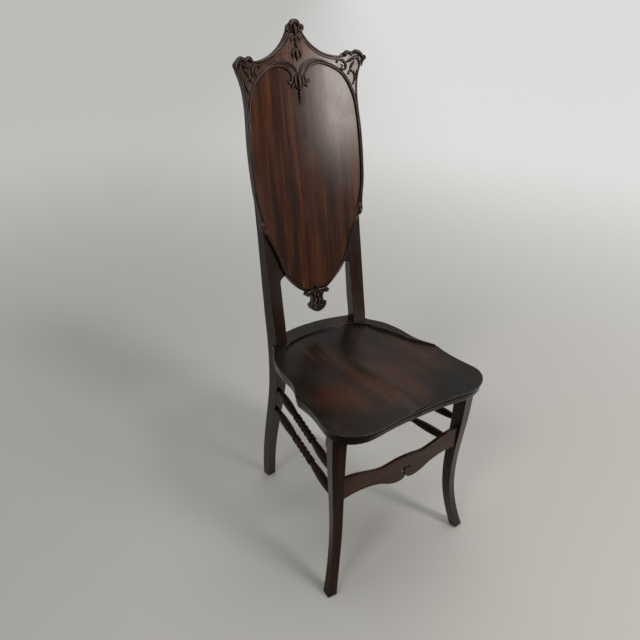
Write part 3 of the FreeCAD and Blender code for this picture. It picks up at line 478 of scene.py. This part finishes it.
def carveRelief(name, carving, strokes, balls):
    # strokes and balls are flattened by the carving's share and laid on the bent back
    mesh = strokeMesh(name, strokes)
    shape = bmesh.new()
    shape.from_mesh(mesh)
    for across, up, radius in balls:
        bmesh.ops.create_uvsphere(shape, u_segments=chisel["ballSegments"],
                                  v_segments=chisel["ballRings"], radius=radius,
                                  matrix=Matrix.Translation((across, up, 0.0)))
    bmesh.ops.remove_doubles(shape, verts=shape.verts, dist=chisel["weld"])
    for vert in shape.verts:
        forward = carving["base"] + max(vert.co.z * carving["flat"], chisel["sunk"])
        vert.co = onBack(vert.co.x / perMetre, vert.co.y / perMetre, forward / perMetre)
    bmesh.ops.recalc_face_normals(shape, faces=shape.faces)
    for face in shape.faces:
        face.smooth = True
    shape.to_mesh(mesh)
    shape.free()
    piece = bpy.data.objects.new(name, mesh)
    scene.collection.objects.link(piece)
    piece.data.materials.clear()
    piece.data.materials.append(carvedMaterial)
    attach(piece, "root")
    return piece


def sides(strokes):
    mirrored = [[(-across, up, radius) for across, up, radius in stroke] for stroke in strokes]
    return {"left": mirrored, "right": strokes}


def bothSides(strokes):
    pair = sides(strokes)
    return pair["left"] + pair["right"]


def shiftRun(run, distance):
    # moves a run sideways, to the left of its direction
    moved = []
    for i, (across, up) in enumerate(run):
        before, after = run[max(i - 1, 0)], run[min(i + 1, len(run) - 1)]
        along = Vector((after[0] - before[0], after[1] - before[1])).normalized()
        moved.append((across - along.y * distance, up + along.x * distance))
    return moved


# lines of the shield's mouldings, right half, as (across, up) in millimetres

shield = {
    "crest": [(18, 667.5), (24, 657.5), (34, 645.3), (49, 632.8), (64, 624), (85, 616.8),
              (103, 614.2), (114, 614)],
    "outer": [(155.5, 603), (152.5, 592), (147, 577), (142.5, 555), (141, 525), (142.5, 495),
              (145, 460), (146, 415), (145, 375), (142.3, 338), (138.5, 305), (136.8, 288)],
    "oval": [(122, 281), (131, 310), (136, 341), (138, 395), (137.2, 450), (135, 490), (131.3, 520),
             (124.8, 541.5), (115.4, 562), (104.8, 576.4), (88.8, 588), (70, 596.8), (53, 600.3),
             (35.5, 597.3), (24, 589), (17.8, 579)],
    "lower": [(137.5, 276), (118.5, 242.5), (102, 205), (87.3, 167), (67, 136.5), (36.5, 108.5)],
    "arch": [(3.2, 586), (6.5, 594), (16, 602.8), (34, 609.6), (52, 609), (69, 603.5), (86, 594.5)]}

# a moulding's run follows a line, shifted to the left of its direction, and may end in a curl
mouldings = {
    "ovalMoulding": {"node": "oval_bead", "base": 3.0, "flat": 1.0, "runs": [
        {"line": "oval", "shift": -2.6, "radius": 2.8,
         "curl": [(17.2, 573, 2.8), (20.4, 566.4, 2.5), (25.2, 567.6, 2.0), (25, 572, 1.4)]},
        {"line": "oval", "shift": -6.6, "radius": 1.1, "curl": []}]},
    "edgeMoulding": {"node": "edge_bead", "base": 3.0, "flat": 1.0, "runs": [
        {"line": "outer", "shift": -2.2, "radius": 2.2, "curl": []}]},
    "crestMoulding": {"node": "crest_bead", "base": 3.0, "flat": 1.0, "runs": [
        {"line": "crest", "shift": -2.3, "radius": 2.4, "curl": []},
        {"line": "crest", "shift": -7.4, "radius": 1.6, "curl": []}]},
    "archMoulding": {"node": "arch_scroll", "base": 3.0, "flat": 1.3, "runs": [
        {"line": "arch", "shift": 0.0, "radius": 2.4, "curl": []},
        {"line": "arch", "shift": -4.6, "radius": 1.1, "curl": []}]},
    "rimMoulding": {"node": "rim_bead", "base": 0.0, "flat": 1.5, "runs": [
        {"line": "lower", "shift": -3.3, "radius": 3.3, "curl": []},
        {"line": "lower", "shift": -8.0, "radius": 1.1, "curl": []}]}}


def mouldingStroke(run):
    radius = run["radius"]
    stroke = [(across, up, radius) for across, up in shiftRun(shield[run["line"]], run["shift"])]
    stroke[0] = (*stroke[0][:2], chisel["startTaper"] * radius)
    if not run["curl"]:
        stroke[-1] = (*stroke[-1][:2], chisel["endTaper"] * radius)
    return stroke + run["curl"]


for title, moulding in mouldings.items():
    strokes = [mouldingStroke(run) for run in moulding["runs"]]
    for side, handed in sides(strokes).items():
        piece = carveRelief(title + side.capitalize(), moulding, handed, [])
        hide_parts(moulding["node"] + "_" + side)
print("the mouldings are run")

# carvings: strokes of (across, up, radius) and balls, right half where they come in pairs

ear = {
    "base": 3.0, "flat": 1.15,
    "strokes": [
        [(113.5, 612, 2.4), (116.5, 617, 4.2), (123, 620, 4.4), (129, 617.4, 3.2),
         (134, 617.6, 3.4), (142, 620, 4.6), (150, 617, 4.6), (155.5, 610.5, 4.0),
         (157.5, 603, 2.9), (156, 596, 1.9), (154, 589, 0.9)],
        [(156, 601, 1.6), (160.6, 603, 2.5), (163.2, 607, 2.6), (161, 610.4, 2.2),
         (159.2, 608.2, 1.4)],
        [(118, 599.5, 1.0), (126, 602.5, 3.2), (136, 606.5, 3.9), (146, 609.5, 3.2),
         (151.5, 611, 1.0)],
        [(138, 612.5, 0.8), (146, 605, 3.0), (148.5, 596, 2.2), (147.5, 588, 0.8)]],
    "balls": [(117.2, 615.4, 4.8), (161.8, 606.8, 3.4), (131.5, 614.5, 3.2)]}
spandrel = {
    "base": 3.0, "flat": 1.15,
    "strokes": [
        [(96.5, 603, 2.2), (100, 606, 2.3), (107.5, 605, 2.9), (114.6, 600, 3.2), (117, 592.6, 3.3),
         (114, 586, 2.7), (108, 584.6, 1.9)],
        [(122.5, 576.5, 2.1), (125.6, 580.8, 2.4), (131, 581, 3.1), (136, 575.6, 3.2),
         (136.6, 567, 2.9), (134.4, 559.5, 2.2), (132, 556, 1.4)],
        [(138.5, 601, 1.0), (134.5, 596.5, 3.2), (129.6, 590.5, 3.1), (126.5, 584, 1.0)],
        [(143.4, 584, 0.8), (142, 575, 2.2), (140.5, 565, 0.8)],
        [(105.5, 596.5, 0.8), (109.5, 593.5, 2.1), (109, 589.5, 0.9)]],
    "balls": [(96.8, 602.2, 3.2), (106, 586.8, 3.4), (122.6, 576.2, 3.0), (131.8, 555, 2.8)]}
finial = {
    "base": 3.0, "flat": 1.2,
    "strokes": [
        [(-9, 673, 2.4), (-9.6, 680.5, 4.8), (-5, 685.6, 5.2), (0, 686.2, 5.2), (5, 685.6, 5.2),
         (9.6, 680.5, 4.8), (9, 673, 2.4)],
        [(0, 683, 2.4), (0, 675, 6.0), (0, 667, 5.0), (0, 660.5, 2.8), (0, 657, 1.0)]] + bothSides([
        [(6.4, 678, 0.8), (8.4, 671, 2.6), (5.6, 663.5, 0.8)],
        [(8.5, 664, 1.0), (13, 667.6, 2.9), (17.8, 669.8, 3.4), (20, 674.6, 3.2),
         (17.4, 678.8, 2.6), (13.6, 677.2, 1.8), (15, 674.6, 1.0)]]),
    "balls": [(-16, 674.4, 3.4), (16, 674.4, 3.4)]}
flowerUpper = {
    "base": 3.0, "flat": 1.2,
    "strokes": [
        [(0, 660, 1.2), (0, 654, 4.2), (0, 648.6, 3.4), (0, 645, 1.4)]] + bothSides([
        [(1.4, 659, 1.2), (6.6, 655.6, 3.4), (10.6, 651.6, 3.0), (11, 647, 0.9)]]),
    "balls": [(0, 641.4, 4.4)]}
flowerLower = {
    "base": 3.0, "flat": 1.25,
    "strokes": [
        [(0, 636, 1.2), (0, 629, 4.8), (0, 619, 4.8), (0, 608.6, 1.0)]] + bothSides([
        [(1, 636.5, 1.2), (6, 631, 3.4), (9.6, 624, 3.8), (10, 618, 2.4), (7.4, 613, 0.8)]]),
    "balls": []}
shellFan = {
    "base": 3.0, "flat": 1.25,
    "strokes": [
        [(0, 587, 1.6), (0, 578, 5.4), (0, 566, 6.2), (0, 557, 5.0), (0, 550.4, 2.4)]] + bothSides([
        [(5, 584, 1.0), (9, 575, 3.8), (9.4, 565, 4.2), (5.6, 556, 2.6), (3, 552.4, 1.0)],
        [(8.6, 566, 1.0), (14, 562.6, 3.4), (18.4, 558.6, 2.2), (20, 555.6, 0.9)]]),
    "balls": [(0, 553.6, 4.4)]}
beadDrop = {
    "base": 1.5, "flat": 1.2,
    "strokes": [
        [(0, 548, 0.8), (0, 536, 1.3), (0, 525.4, 0.8)]],
    "balls": [(0, 545.4, 4.9), (0, 539.4, 4.4), (0, 533.8, 4.0), (0, 528.8, 3.5), (0, 524.8, 3.0)]}
lug = {
    "base": 1.5, "flat": 1.15,
    "strokes": [
        [(137, 284, 0.8), (135, 277.5, 3.0), (131.5, 270.5, 4.0), (127, 262.5, 3.3)],
        [(134, 281, 1.0), (128, 281.6, 3.2), (122, 278.6, 2.5), (118.4, 274.6, 0.8)],
        [(131.4, 291, 0.8), (128, 286, 2.2), (125, 281, 0.8)]],
    "balls": [(131.5, 280.5, 3.4)]}
pendant = {
    "base": 4.0, "flat": 0.9,
    "strokes": [
        [(0, 120, 0.8), (0, 114.5, 4.0), (0, 108, 3.4), (0, 103, 1.6)],
        [(0, 99, 1.0), (0, 90, 3.6), (0, 78, 4.4), (0, 66, 3.8), (0, 55.5, 0.8)]] + bothSides([
        [(3, 105, 1.6), (9, 104, 2.7), (18, 103.6, 3.1), (25.6, 102.4, 2.8), (29.8, 98.6, 2.3),
         (28.4, 94.6, 1.7), (25, 95.6, 1.1)],
        [(4, 101, 0.8), (9, 96, 2.9), (10.4, 88, 2.7), (10, 80.5, 2.0), (12, 76, 0.8)],
        [(4, 84, 0.8), (7.6, 76, 2.8), (13.2, 70.6, 3.3), (20.6, 70.6, 0.8)],
        [(3, 68, 0.8), (7.6, 64.6, 2.8), (13, 62, 2.8), (18, 62.6, 0.6)],
        [(2.4, 60, 0.6), (6.2, 57.6, 2.0), (11, 56, 0.5)]]),
    "balls": [(0, 103.6, 3.4), (-27.4, 97.4, 2.3), (27.4, 97.4, 2.3)]}

# each carving with the node that it replaces, if it replaces one
handedCarvings = {"earCarving": (ear, "ear_carving"),
                  "spandrelCarving": (spandrel, "spandrel_carving"), "lugLeaf": (lug, None)}
middleCarvings = {"finialCarving": (finial, "finial_carving"),
                  "bellflowerUpper": (flowerUpper, "bellflower_upper"),
                  "bellflowerLower": (flowerLower, "bellflower_lower"),
                  "shellCarving": (shellFan, "shell_carving"), "beadDrop": (beadDrop, "bead_drop"),
                  "pendantRelief": (pendant, None)}

for side, mirrorSign in (("left", -1), ("right", 1)):
    for title, (carving, node) in handedCarvings.items():
        strokes = sides(carving["strokes"])[side]
        balls = [(mirrorSign * across, up, radius) for across, up, radius in carving["balls"]]
        piece = carveRelief(title + side.capitalize(), carving, strokes, balls)
        if node:
            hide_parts(node + "_" + side)
for title, (carving, node) in middleCarvings.items():
    piece = carveRelief(title, carving, carving["strokes"], carving["balls"])
    if node:
        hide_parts(node)
print("the carvings are cut")

# camera, light and floor

camera = {"place": (-0.8211, -1.0385, 1.2526), "yaw": 35.38, "pitch": 28.64, "roll": -1.86,
          "sensor": 36.0, "lens": 37.963125, "near": 0.05, "far": 200.0}


def placeCamera():
    data = bpy.data.cameras.new("photoCamera")
    data.sensor_width = camera["sensor"]
    data.lens = camera["lens"]
    data.clip_start, data.clip_end = camera["near"], camera["far"]
    holder = bpy.data.objects.new("photoCamera", data)
    scene.collection.objects.link(holder)
    turn = (Matrix.Rotation(-math.radians(camera["yaw"]), 4, "Z")
            @ Matrix.Rotation(math.radians(90 - camera["pitch"]), 4, "X")
            @ Matrix.Rotation(-math.radians(camera["roll"]), 4, "Z"))
    holder.matrix_world = Matrix.Translation(camera["place"]) @ turn
    scene.camera = holder


windows = {
    "frontWindow": {"place": (0.8, -2.1, 1.5), "aim": (0.08, 0.25, 1.0), "size": (0.6, 0.7),
                    "power": 19.0, "colour": (1.0, 0.91, 0.86)},
    "leftWindow": {"place": (-2.6, 0.5, 1.6), "aim": (0.0, 0.1, 0.5), "size": (1.2, 1.6),
                   "power": 9.0, "colour": (0.98, 1.0, 0.95)}}
skylights = {
    "daylight": {"from": (0.2, 0.1, 1.0), "power": 1.3, "spread": 60.0,
                 "colour": (1.0, 0.995, 0.985)},
    "rightLight": {"from": (0.3, -0.9, 0.85), "power": 0.65, "spread": 12.0,
                   "colour": (1.0, 0.99, 0.97)},
    "leftLight": {"from": (-0.9, -0.35, 0.9), "power": 0.5, "spread": 14.0,
                  "colour": (1.0, 1.0, 0.98)}}


def hangLight(name, kind, light, heading):
    data = bpy.data.lights.new(name, kind)
    data.energy = light["power"]
    data.color = light["colour"]
    holder = bpy.data.objects.new(name, data)
    holder.rotation_mode = "QUATERNION"
    holder.rotation_quaternion = heading.to_track_quat("-Z", "Y")
    scene.collection.objects.link(holder)
    return holder


def hangLights():
    for name, light in windows.items():
        heading = Vector(light["aim"]) - Vector(light["place"])
        holder = hangLight(name, "AREA", light, heading)
        holder.location = light["place"]
        holder.data.shape = "RECTANGLE"
        holder.data.size, holder.data.size_y = light["size"]
    for name, light in skylights.items():
        holder = hangLight(name, "SUN", light, -Vector(light["from"]))
        holder.data.angle = math.radians(light["spread"])


# the floor grows paler to the right and away from the chair, which is painted light, and its front
# is painted dark where it is seen in reflections
floor = {
    "half": 60.0, "rightwards": (0.815, -0.579, 0.0), "rearwards": (0.579, 0.815, 0.0),
    "sideSpan": (-1.4, 1.2), "farSpan": (0.7, 4.0), "frontSpan": (0.0, -0.6),
    "nearLeft": (0.35, 0.35, 0.33), "nearRight": (0.5, 0.49, 0.465),
    "farLeft": (0.6, 0.605, 0.59), "farRight": (0.86, 0.86, 0.855),
    "mirrored": (0.04, 0.038, 0.036), "roughness": 0.9}


def layFloor():
    shape = bmesh.new()
    bmesh.ops.create_grid(shape, x_segments=2, y_segments=2, size=floor["half"])
    mesh = bpy.data.meshes.new("paleFloor")
    shape.to_mesh(mesh)
    shape.free()
    ground = bpy.data.objects.new("paleFloor", mesh)
    scene.collection.objects.link(ground)
    material = bpy.data.materials.new("paleFloor")
    material.use_nodes = True
    tree = material.node_tree
    shader = tree.nodes["Principled BSDF"]
    place = addNode(tree, "ShaderNodeTexCoord", (-1000, 0)).outputs["Object"]
    shares = []
    for row, (operation, direction, span) in enumerate((
            ("DOT_PRODUCT", floor["rightwards"], floor["sideSpan"]),
            ("LENGTH", None, floor["farSpan"]),
            ("DOT_PRODUCT", floor["rearwards"], floor["frontSpan"]))):
        measure = addNode(tree, "ShaderNodeVectorMath", (-800, -200 * row),
                          {1: direction} if direction else None, operation=operation)
        tree.links.new(place, measure.inputs[0])
        shares.append(mapRange(tree, measure.outputs["Value"], (-600, -200 * row), *span))
    side, far, front = shares
    # painted light: paler tones stand for the stronger light on the right and far away
    nearTone = mixColour(tree, (-400, 0), side, floor["nearLeft"], floor["nearRight"])
    farTone = mixColour(tree, (-400, -200), side, floor["farLeft"], floor["farRight"])
    litCloth = mixColour(tree, (-200, 0), far, nearTone, farTone)
    path = addNode(tree, "ShaderNodeLightPath", (-600, 300))
    dimmed = mathNode(tree, "MULTIPLY", (-300, 300), path.outputs["Is Glossy Ray"], front)
    seen = mixColour(tree, (0, 0), dimmed, litCloth, floor["mirrored"])
    tree.links.new(seen, shader.inputs["Base Color"])
    shader.inputs["Roughness"].default_value = floor["roughness"]
    shader.inputs["Specular IOR Level"].default_value = 0.0
    mesh.materials.append(material)


# the room is brighter behind the chair and above, and plain where the camera sees it
room = {"colour": (0.98, 0.99, 1.0), "bright": (0.25, 0.6, 0.75), "span": (-0.5, 0.9),
        "low": 0.05, "high": 0.24, "seen": 0.8}


def lightRoom():
    world = bpy.data.worlds.new("studio")
    scene.world = world
    world.use_nodes = True
    tree = world.node_tree
    background = tree.nodes["Background"]
    background.inputs["Color"].default_value = (*room["colour"], 1.0)
    place = addNode(tree, "ShaderNodeTexCoord", (-1000, 0))
    behind = addNode(tree, "ShaderNodeVectorMath", (-800, 0), {1: room["bright"]},
                     operation="DOT_PRODUCT")
    tree.links.new(place.outputs["Generated"], behind.inputs[0])
    strength = mapRange(tree, behind.outputs["Value"], (-600, 0), *room["span"],
                        room["low"], room["high"])
    path = addNode(tree, "ShaderNodeLightPath", (-600, 300))
    split = addNode(tree, "ShaderNodeMix", (-300, 0), {3: room["seen"]}, data_type="FLOAT")
    tree.links.new(path.outputs["Is Camera Ray"], split.inputs[0])
    tree.links.new(strength, split.inputs[2])
    tree.links.new(split.outputs[0], background.inputs["Strength"])


placeCamera()
hangLights()
layFloor()
lightRoom()
scene.view_settings.view_transform = "Standard"
print("camera, lights and floor are set")
